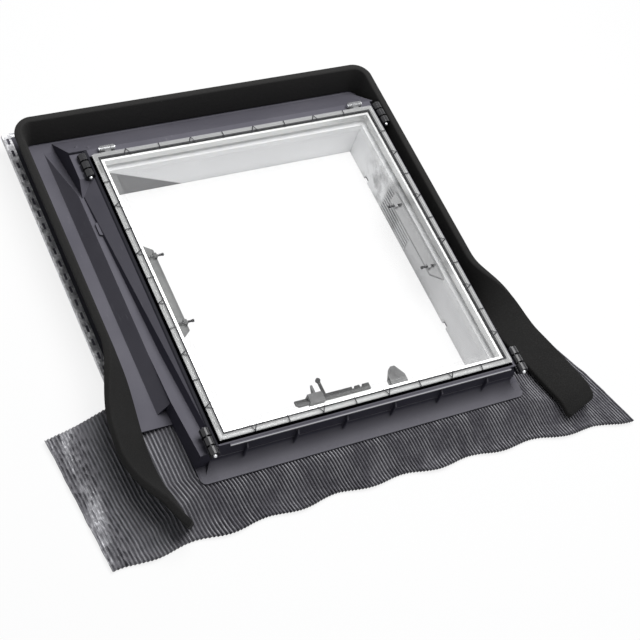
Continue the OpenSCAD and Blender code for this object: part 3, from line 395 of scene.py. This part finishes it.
strip_rows, flap_rows = 16, 22
columns = sum(half_pleats) * steps_per_half
fold = np.linspace(0.0, sum(half_pleats), columns + 1)
points, folds, rows = [], [], strip_rows + flap_rows
for r in range(rows + 1):
    y = (apron_front + (lap_y - apron_front) * r / strip_rows if r <= strip_rows
         else lap_y + (flap_rear - lap_y) * (r - strip_rows) / flap_rows)
    left = -left_reach - left_splay * (y - apron_front)
    right = right_reach - right_splay * (y - apron_front)
    aside = pleat_lean * max(lap_y - y, 0.0)
    x = np.interp(fold, np.cumsum((0,) + half_pleats), (left, -lap_x + aside, lap_x + aside, right))
    if r < strip_rows:
        front = apron_front - bow * (x / left_reach) ** 2 - front_wave * edge_wave(x)
        ys = front + (lap_y - front) * r / strip_rows
    else:
        from_tip = x + left_reach + left_splay * (flap_rear - apron_front)
        flap_edge = flap_rear + np.where(x < 0, flap_skew * from_tip, 0.0)
        ys = lap_y + (flap_edge - lap_y) * (r - strip_rows) / flap_rows
    points.append(np.stack([x, ys, apron_level(x, ys)], axis=1))
    folds.append(fold)
points, folds = np.concatenate(points), np.concatenate(folds)
wide = columns + 1
flap_ends = (half_pleats[0] * steps_per_half, (half_pleats[0] + half_pleats[1]) * steps_per_half)
quads = [(r * wide + c, r * wide + c + 1, (r + 1) * wide + c + 1, (r + 1) * wide + c)
         for r in range(rows) for c in range(columns)
         if r < strip_rows or c < flap_ends[0] or c >= flap_ends[1]]
used = sorted({v for q in quads for v in q})
again = {v: i for i, v in enumerate(used)}
apron_mesh = bpy.data.meshes.new("apron_sheet")
apron_mesh.from_pydata(points[used].tolist(), [], [tuple(again[v] for v in q) for q in quads])
x, y = points[used, 0], points[used, 1]
rim_band = np.exp(-((x + left_reach) / bent_rim) ** 2)
dressing = apron_fall(x, y) * (plain_bends + rim_bends * rim_band)
for name, values in (("fold", folds[used]), ("dressing", dressing)):
    apron_mesh.attributes.new(name, "FLOAT", "POINT").data.foreach_set("value", values.astype(np.float32))
apron = bpy.data.objects.new("apron_sheet", apron_mesh)
scene.collection.objects.link(apron)

apron_metal, tree, bsdf, place = finish_for("pleated_metal")
ridge = wire(tree, "ShaderNodeAttribute", attribute_name="ridge").outputs["Fac"]
band = wire(tree, "ShaderNodeAttribute", attribute_name="dressing").outputs["Fac"]
sheet_marks = marked(tree, place, 190.0)
drag = wire(tree, "ShaderNodeMapping", {"Vector": place, "Scale": (1.0, 0.22, 1.0)})
worn = wire(tree, "ShaderNodeTexNoise", {"Vector": drag.outputs[0], "Scale": 46.0, "Detail": 5.0, "Roughness": 0.65})
ridge_wear = worked(tree, "MULTIPLY", stretch(tree, ridge, 0.35, 1.0), stretch(tree, worn.outputs["Fac"], 0.40, 0.60))
bare = worked(tree, "MAXIMUM", ridge_wear, sheet_marks)
in_band = stretch(tree, band, 0.9, 1.6)
rubbed = worked(tree, "MULTIPLY", in_band, stretch(tree, worn.outputs["Fac"], 0.46, 0.60, 0.0, 0.8))
# Painted shade: the pleats' valleys are darker than their ridges.
coat_and_valley_shade = blend_colour(tree, stretch(tree, ridge, -1.0, 0.6), (0.058, 0.0565, 0.065, 1), (0.114, 0.111, 0.126, 1))
# Painted light: the left flap is lighter than the rest of the sheet.
left_flap_x, left_flap_share = (-0.27, -0.36), 0.75
left_flap_light = stretch(tree, wire(tree, "ShaderNodeSeparateXYZ", {0: place}).outputs["X"], *left_flap_x, 0.0, left_flap_share)
coat_and_valley_shade = blend_colour(tree, left_flap_light, coat_and_valley_shade, (0.205, 0.202, 0.218, 1))
coat_and_valley_shade = blend_colour(tree, bare, coat_and_valley_shade, (0.27, 0.27, 0.285, 1))
tree.links.new(blend_colour(tree, rubbed, coat_and_valley_shade, (0.42, 0.42, 0.44, 1)), bsdf.inputs["Base Color"])
metal = worked(tree, "MAXIMUM", stretch(tree, bare, 0.0, 1.0, 0.05, 0.25), stretch(tree, rubbed, 0.0, 1.0, 0.0, 0.6))
tree.links.new(metal, bsdf.inputs["Metallic"])
tree.links.new(stretch(tree, bare, 0.0, 1.0, 0.48, 0.36), bsdf.inputs["Roughness"])
bsdf.inputs["Specular IOR Level"].default_value = 0.2
crease = wire(tree, "ShaderNodeTexNoise", {"Vector": place, "Scale": 240.0, "Detail": 3.0})
facets = wire(tree, "ShaderNodeTexVoronoi", {"Vector": place, "Scale": 95.0, "Randomness": 1.0})
creased = wire(tree, "ShaderNodeBump", {"Strength": 0.35, "Distance": 0.0012, "Height": crease.outputs["Fac"]})
crumpled = wire(tree, "ShaderNodeBump", {"Strength": stretch(tree, band, 0.5, 1.5, 0.12, 0.9), "Distance": 0.006,
                                         "Height": facets.outputs["Distance"], "Normal": creased.outputs[0]})
tree.links.new(crumpled.outputs[0], bsdf.inputs["Normal"])

pleater = bpy.data.node_groups.new("pleater", "GeometryNodeTree")
pleater.is_modifier = True
pleater.interface.new_socket("Sheet", in_out="INPUT", socket_type="NodeSocketGeometry")
sizes = {}
for label, value in (("Pleat height", pleat_high), ("Crumple", 0.0046), ("Wander", 0.0036), ("Pressed", 0.6),
                     ("Lowest", 0.0012), ("Seed", 3.7)):
    socket = pleater.interface.new_socket(label, in_out="INPUT", socket_type="NodeSocketFloat")
    sizes[socket.identifier] = value
pleater.interface.new_socket("Sheet", in_out="OUTPUT", socket_type="NodeSocketGeometry")
given = wire(pleater, "NodeGroupInput")
phase = wire(pleater, "GeometryNodeInputNamedAttribute", {"Name": "fold"}, data_type="FLOAT").outputs["Attribute"]
handled = wire(pleater, "GeometryNodeInputNamedAttribute", {"Name": "dressing"}, data_type="FLOAT").outputs["Attribute"]
swing = worked(pleater, "PINGPONG", phase, 1.0)
sharp = worked(pleater, "MULTIPLY_ADD", swing, -2.0, 1.0)
turn = worked(pleater, "MULTIPLY", phase, math.pi)
round_top = worked(pleater, "COSINE", turn)
profile = wire(pleater, "ShaderNodeMix", {0: 0.5, 2: sharp, 3: round_top}, data_type="FLOAT").outputs[0]
lift = worked(pleater, "MULTIPLY", profile, given.outputs["Pleat height"])
lift = worked(pleater, "MULTIPLY", lift, 0.5)
here = wire(pleater, "GeometryNodeInputPosition").outputs[0]


def by_chance(scale, detail):
    return wire(pleater, "ShaderNodeTexNoise", {"Vector": here, "W": given.outputs["Seed"], "Scale": scale,
                                                "Detail": detail}, noise_dimensions="4D").outputs[0]


flattened = worked(pleater, "MULTIPLY", stretch(pleater, by_chance(13.0, 3.0), 0.48, 0.66), handled)
flattened = worked(pleater, "MULTIPLY", flattened, given.outputs["Pressed"])
standing = wire(pleater, "ShaderNodeMath", {0: 1.0, 1: flattened}, operation="SUBTRACT", use_clamp=True)
lift = worked(pleater, "MULTIPLY", lift, standing.outputs[0])
dent = worked(pleater, "SUBTRACT", by_chance(55.0, 3.0), 0.5)
dent = worked(pleater, "MULTIPLY", dent, handled)
dent = worked(pleater, "MULTIPLY_ADD", dent, given.outputs["Crumple"], lift)
stray = worked(pleater, "SUBTRACT", by_chance(11.0, 1.0), 0.5)
stray = worked(pleater, "MULTIPLY", stray, handled)
stray = worked(pleater, "MULTIPLY", stray, given.outputs["Wander"])
was = wire(pleater, "ShaderNodeSeparateXYZ", {0: here})
height = worked(pleater, "ADD", was.outputs["Z"], dent)
height = worked(pleater, "MAXIMUM", height, given.outputs["Lowest"])
aside = worked(pleater, "ADD", was.outputs["X"], stray)
moved = wire(pleater, "ShaderNodeCombineXYZ", {0: aside, 1: was.outputs["Y"], 2: height})
noted = wire(pleater, "GeometryNodeStoreNamedAttribute",
             {"Geometry": given.outputs["Sheet"], "Name": "ridge", "Value": profile}, data_type="FLOAT", domain="POINT")
folded = wire(pleater, "GeometryNodeSetPosition", {"Geometry": noted.outputs[0], "Position": moved.outputs[0]})
whole = wire(pleater, "GeometryNodeRealizeInstances", {0: folded.outputs[0]})
coated = wire(pleater, "GeometryNodeSetMaterial", {"Geometry": whole.outputs[0], "Material": apron_metal})
smooth = wire(pleater, "GeometryNodeSetShadeSmooth", {"Geometry": coated.outputs[0], "Shade Smooth": True})
wire(pleater, "NodeGroupOutput", {0: smooth.outputs[0]})

rollers = apron.modifiers.new("rollers", "NODES")
rollers.node_group = pleater
for identifier, value in sizes.items():
    rollers[identifier] = value
gauge = apron.modifiers.new("gauge", "SOLIDIFY")
gauge.thickness = sheet_gauge
gauge.offset = 0.0
settled = bpy.data.meshes.new_from_object(apron.evaluated_get(bpy.context.evaluated_depsgraph_get()))
apron.modifiers.clear()
apron.data = settled
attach(apron, "frame")
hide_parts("apron")


# The foam: a black self-sealing strip cut from soft sheet, stood on edge on the flange's rim.
# It is stuck down along the rear and the sides; its two front ends are loose and lie on the apron.
foam_w, foam_t, foam_round = 0.058, 0.013, 0.0032
foam_left, foam_right, foam_back, foam_turn = -0.363, 0.3025, 0.377, 0.024
flange_top, edging_up, loose_from, rest_gap = 0.036, 0.0034, -0.0557, 0.0003
left_lean, back_lean, lean_out, lean_in, right_fall = 22, 7, 38, 34, 84
right_widening, end_taper, foam_inset, over_pleats = 0.17, 0.86, 0.010, 0.00208
left_ends = np.array([(foam_left, loose_from), (foam_left - 0.0041, -0.1462), (foam_left - 0.0725, -0.2560),
                      (foam_left + 0.0191, -0.3788)])
right_ends = np.array([(foam_right, loose_from), (foam_right, -0.1490), (foam_right + 0.0568, -0.2485),
                       (foam_right + 0.0957, -0.3666)])


def loose_end(ends, t):
    t = t[:, None]
    u = 1.0 - t
    return u ** 3 * ends[0] + 3 * t * u * u * ends[1] + 3 * t * t * u * ends[2] + t ** 3 * ends[3]


def corner(centre_x, first, last, lean_from, lean_to):
    part = np.linspace(0.0, 1.0, 13)
    a = np.radians(first + (last - first) * part)
    return np.stack([centre_x + foam_turn * np.cos(a), foam_back - foam_turn + foam_turn * np.sin(a),
                     lean_from + (lean_to - lean_from) * part, 0 * part], axis=1)


t = np.linspace(0.0, 1.0, 60)
left_path = loose_end(left_ends, t)
left_tilt = left_lean + lean_out * ease(t / 0.5) - lean_in * ease((t - 0.6) / 0.4)
left_run = np.column_stack([left_path, left_tilt, t])[::-1]
right_path = loose_end(right_ends, t)
right_run = np.column_stack([right_path, right_fall * ease((t - 0.05) / 0.55), t])
right_spread = 1.0 + right_widening * ease((t - 0.1) / 0.5)
side = np.linspace(0.0, 1.0, 62)[1:-1]
left_side = np.stack([0 * side + foam_left, loose_from + (foam_back - foam_turn - loose_from) * side,
                      0 * side + left_lean, 0 * side], axis=1)
back_side = np.stack([foam_left + foam_turn + (foam_right - foam_left - 2 * foam_turn) * side, 0 * side + foam_back,
                      0 * side + back_lean, 0 * side], axis=1)
right_side = np.stack([0 * side + foam_right, foam_back - foam_turn + (loose_from - foam_back + foam_turn) * side,
                       0 * side, 0 * side], axis=1)
route = np.concatenate([left_run, left_side, corner(foam_left + foam_turn, 180, 90, left_lean, back_lean), back_side,
                        corner(foam_right - foam_turn, 90, 0, back_lean, 0), right_side, right_run])
x, y, lean, loose = route.T
along = np.gradient(route[:, :2], axis=0)
along /= np.linalg.norm(along, axis=1)[:, None]
out = np.stack([-along[:, 1], along[:, 0]], axis=1)
tilt = np.radians(lean)
on_apron = apron_level(np.abs(x) - foam_w / 2 - foam_inset, y) + pleat_high / 2 + sheet_gauge / 2 + over_pleats
step = flange_top + edging_up * ease(loose / 0.2)
base = step + (on_apron - step) * ease((loose - 0.5) / 0.35) + rest_gap
spread = np.concatenate([np.ones(len(route) - len(t)), right_spread])
middle = base + (foam_w * spread * np.abs(np.cos(tilt)) + foam_t * np.abs(np.sin(tilt))) / 2
section = []
for cx, cy, start in ((1, 1, 0), (-1, 1, 90), (-1, -1, 180), (1, -1, 270)):
    for a in np.radians(np.linspace(start, start + 90, 5)):
        section.append((cx * (foam_w / 2 - foam_round) + foam_round * math.cos(a),
                        cy * (foam_t / 2 - foam_round) + foam_round * math.sin(a)))
section = np.array(section)
taper = np.ones(len(route))
taper[[0, -1]] = end_taper
up_in = section[None, :, 0] * (taper * spread)[:, None]
out_in = section[None, :, 1] * taper[:, None]
sideways = up_in * np.sin(tilt)[:, None] + out_in * np.cos(tilt)[:, None]
upward = up_in * np.cos(tilt)[:, None] - out_in * np.sin(tilt)[:, None]
rings = np.stack([x[:, None] + out[:, 0:1] * sideways, y[:, None] + out[:, 1:2] * sideways,
                  middle[:, None] + upward], axis=2)
n = len(section)
faces = [(k * n + s, k * n + (s + 1) % n, (k + 1) * n + (s + 1) % n, (k + 1) * n + s)
         for k in range(len(route) - 1) for s in range(n)]
faces += [tuple(range(n))[::-1], tuple((len(route) - 1) * n + s for s in range(n))]
foam_mesh = bpy.data.meshes.new("foam_seal")
foam_mesh.from_pydata(rings.reshape(-1, 3).tolist(), [], faces)
foam_mesh.polygons.foreach_set("use_smooth", [True] * len(faces))
foam = bpy.data.objects.new("foam_seal", foam_mesh)
scene.collection.objects.link(foam)

soft_foam, tree, bsdf, place = finish_for("black_foam")
pores = wire(tree, "ShaderNodeTexVoronoi", {"Vector": place, "Scale": 520.0})
foam_grain = grained(tree, place, 300.0, 14.0)
foam_black = blend_colour(tree, foam_grain.outputs["Tone"], (0.004, 0.0039, 0.0038, 1), (0.010, 0.0098, 0.0095, 1))
# Painted light: the foam is lighter towards the rear.
foam_light_y, foam_light_share = (-0.34, 0.38), 0.8
rear_foam_light = stretch(tree, wire(tree, "ShaderNodeSeparateXYZ", {0: place}).outputs["Y"], *foam_light_y, 0.0, foam_light_share)
tree.links.new(blend_colour(tree, rear_foam_light, foam_black, (0.024, 0.0235, 0.023, 1)), bsdf.inputs["Base Color"])
tree.links.new(stretch(tree, pores.outputs["Distance"], 0.0, 0.8, 0.98, 0.82), bsdf.inputs["Roughness"])
bsdf.inputs["Specular IOR Level"].default_value = 0.25
bumps = wire(tree, "ShaderNodeBump", {"Strength": 0.5, "Distance": 0.0006, "Height": pores.outputs["Distance"]})
tree.links.new(bumps.outputs[0], bsdf.inputs["Normal"])
foam_mesh.materials.append(soft_foam)
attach(foam, "frame")
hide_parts("foam_strip")


# The sash: a moulded rim of clear acrylic with cross ribs and V clips, and two clear panes welded to it.
# It hangs on milky hinges at the rear. The rim's outer walls are dark, and its channel is milky.
# The welds, the sealing line and the milky border are drawn in the panes' finish.
sash_half_x, sash_half_y, rim_w, rib_top, acrylic_ior = 0.270, 0.2825, 0.012, 0.0965, 1.49


def from_edges(tree, axes):
    return [worked(tree, "SUBTRACT", half, worked(tree, "ABSOLUTE", axes.outputs[name]))
            for name, half in (("X", sash_half_x), ("Y", sash_half_y))]


rim_acrylic, tree, bsdf, place = finish_for("clear_rim")
flat = stretch(tree, levelness(tree), 0.4, 0.6)
axes = wire(tree, "ShaderNodeSeparateXYZ", {0: place})
inset = worked(tree, "MINIMUM", *from_edges(tree, axes))
past_rim = stretch(tree, inset, rim_w + 0.0004, rim_w + 0.0008)
off_middle = away_from(tree, inset, rim_w / 2)
between = stretch(tree, off_middle, 0.0038, 0.0036)
on_rib = worked(tree, "MULTIPLY", between, stretch(tree, axes.outputs["Z"], rib_top - 0.0005, rib_top))
rim_grain = grained(tree, place, 220.0, 16.0)
channel = stretch(tree, off_middle, 0.0005, 0.0024)
flat_tone = blend_colour(tree, channel, (0.52, 0.525, 0.51, 1), blend_colour(
    tree, rim_grain.outputs["Tone"], (0.74, 0.75, 0.74, 1), (0.92, 0.92, 0.91, 1)))
flat_tone = blend_colour(tree, on_rib, flat_tone, (0.035, 0.035, 0.04, 1))
outside = stretch(tree, inset, 0.0006, 0.0004)
inner_side = wire(tree, "ShaderNodeNewGeometry").outputs["Backfacing"]
from_out = worked(tree, "MULTIPLY", outside, stretch(tree, inner_side, 0.0, 1.0, 1.0, 0.0))
wall_tone = blend_colour(tree, from_out, (0.62, 0.625, 0.62, 1), (0.008, 0.008, 0.010, 1))
tree.links.new(blend_colour(tree, flat, wall_tone, flat_tone), bsdf.inputs["Base Color"])
wall_alpha = worked(tree, "MAXIMUM", from_out, stretch(tree, past_rim, 0.0, 1.0, 0.12, 0.03))
past_channel = stretch(tree, inset, rim_w - 0.0026, rim_w - 0.0022)
flat_alpha = stretch(tree, past_channel, 0.0, 1.0, 0.9, 0.05)
rim_alpha = wire(tree, "ShaderNodeMix", {0: flat, 2: wall_alpha, 3: flat_alpha}, data_type="FLOAT").outputs[0]
tree.links.new(rim_alpha, bsdf.inputs["Alpha"])
tree.links.new(stretch(tree, rim_grain.outputs["Tone"], 0.0, 1.0, 0.10, 0.2), bsdf.inputs["Roughness"])
bsdf.inputs["Specular IOR Level"].default_value = 0.1
bsdf.inputs["IOR"].default_value = acrylic_ior
wear(rim_acrylic, "sash_frame")

hinge_acrylic, tree, bsdf, place = finish_for("milky_hinge")
milk = grained(tree, place, 600.0, 50.0)
tree.links.new(blend_colour(tree, milk.outputs["Tone"], (0.40, 0.405, 0.41, 1), (0.66, 0.665, 0.67, 1)),
               bsdf.inputs["Base Color"])
tree.links.new(stretch(tree, milk.outputs["Tone"], 0.0, 1.0, 0.10, 0.2), bsdf.inputs["Roughness"])
soft_edges(tree, bsdf, 0.0006)
bsdf.inputs["Alpha"].default_value = 0.4
wear(hinge_acrylic, "sash_hinge_left", "sash_hinge_right", "frame_hinge_left", "frame_hinge_right")

rim_ribs, rib_margin, row_end = ((8, sash_half_x), (10, sash_half_y)), 0.060, (0.040, 0.041)
clip_slope, weld, bead_inset, channel_inset = math.tan(math.radians(28)), 0.0009, 0.0087, 0.0038
bead_half, border_from, blur = (0.0010, 0.0008), (0.0042, 0.0044), 0.0002
front_y, rear_y, right_x = (-0.264, -0.270), (0.264, 0.270), (0.252, 0.258)
pane_acrylic, tree, bsdf, place = finish_for("clear_pane")
film = marked(tree, place, 90.0)
axes = wire(tree, "ShaderNodeSeparateXYZ", {0: place})
edges, welds = from_edges(tree, axes), []
inset = worked(tree, "MINIMUM", *edges)
for name, across, (count, half) in (("X", edges[1], rim_ribs[0]), ("Y", edges[0], rim_ribs[1])):
    pitch = 2 * (half - rib_margin) / (count - 1)
    near = stretch(tree, across, rim_w + blur, rim_w)
    inside_row = stretch(tree, worked(tree, "ABSOLUTE", axes.outputs[name]), half - row_end[0], half - row_end[1])
    row = worked(tree, "MULTIPLY", near, inside_row)
    shifted = worked(tree, "ADD", axes.outputs[name], (count - 1) / 2 * pitch + 20 * pitch)
    to_clip = worked(tree, "PINGPONG", shifted, pitch)
    rib = stretch(tree, to_clip, pitch - weld - blur, pitch - weld)
    arm = worked(tree, "MULTIPLY_ADD", across, -clip_slope, to_clip)
    arm = worked(tree, "ABSOLUTE", arm)
    clip = stretch(tree, arm, weld + blur, weld)
    either = worked(tree, "MAXIMUM", rib, clip)
    welds.append(worked(tree, "MULTIPLY", either, row))
lines = worked(tree, "MAXIMUM", *welds)
sealing_bead = stretch(tree, away_from(tree, inset, bead_inset), *bead_half)
lines = worked(tree, "MAXIMUM", lines, sealing_bead)
border = stretch(tree, inset, rim_w - border_from[0], rim_w - border_from[1])
length_of = worked(tree, "ADD", axes.outputs["X"], axes.outputs["Y"])
across_of = worked(tree, "MULTIPLY", inset, 90.0)
drawn_out = wire(tree, "ShaderNodeCombineXYZ", {0: across_of, 1: length_of})
streak = wire(tree, "ShaderNodeTexNoise", {"Vector": drawn_out.outputs[0], "Scale": 6.0, "Detail": 2.0})
milky = blend_colour(tree, stretch(tree, streak.outputs["Fac"], 0.35, 0.65), (0.46, 0.465, 0.455, 1),
                     (0.66, 0.665, 0.655, 1))
from_channel = away_from(tree, inset, channel_inset)
milky = blend_colour(tree, stretch(tree, from_channel, 0.0022, 0.0030), milky, (0.90, 0.905, 0.90, 1))
# Painted light: the milky border is lighter on the front side, and a little lighter on the rear and right sides.
front_side = stretch(tree, axes.outputs["Y"], *front_y, 0.0, 0.75)
milky = blend_colour(tree, front_side, milky, (0.95, 0.955, 0.95, 1))
far_side = worked(tree, "MAXIMUM", stretch(tree, axes.outputs["Y"], *rear_y, 0.0, 0.6),
                  stretch(tree, axes.outputs["X"], *right_x, 0.0, 0.4))
milky = blend_colour(tree, far_side, milky, (0.92, 0.925, 0.92, 1))
glass_tone = blend_colour(tree, film, (0.93, 0.95, 0.95, 1), (0.82, 0.83, 0.84, 1))
over_rim = blend_colour(tree, border, glass_tone, milky)
tree.links.new(blend_colour(tree, lines, over_rim, (0.045, 0.045, 0.05, 1)), bsdf.inputs["Base Color"])
clear = stretch(tree, film, 0.0, 1.0, 0.006, 0.016)
haze = worked(tree, "MAXIMUM", clear, stretch(tree, border, 0.0, 1.0, 0.0, 0.32))
tree.links.new(worked(tree, "MAXIMUM", haze, stretch(tree, lines, 0.0, 1.0, 0.0, 0.85)), bsdf.inputs["Alpha"])
tree.links.new(stretch(tree, film, 0.0, 1.0, 0.03, 0.12), bsdf.inputs["Roughness"])
bsdf.inputs["Specular IOR Level"].default_value = 0.05
bsdf.inputs["IOR"].default_value = acrylic_ior
wear(pane_acrylic, "outer_pane", "inner_pane")
